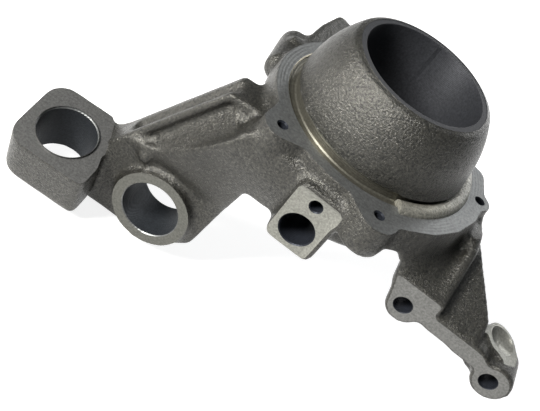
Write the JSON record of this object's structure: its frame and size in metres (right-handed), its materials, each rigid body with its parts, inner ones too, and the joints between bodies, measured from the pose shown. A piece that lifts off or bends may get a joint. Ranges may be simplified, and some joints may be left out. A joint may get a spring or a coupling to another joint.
{
  "type": "steering knuckle",
  "caption": "Cast steering knuckle: bearing barrel with a shield flange, sensor pad, arm with a bush boss and a tilted eye, and a bracket with tapped ears.",
  "frame": {"origin": "centre of the hub barrel's mouth, where the wheel bearing goes in", "axes": "+Z out of the barrel's mouth along the wheel axis; -Y is the side that the sensor pad, the bush and the tapped ears face; -X towards the eye"},
  "size_m": [0.304, 0.1653, 0.1779],
  "materials": {
    "casting": "sand-cast skin with turned and milled seats"
  },
  "bodies": {
    "root": {"steering_knuckle": "casting"}
  },
  "joints": []
}
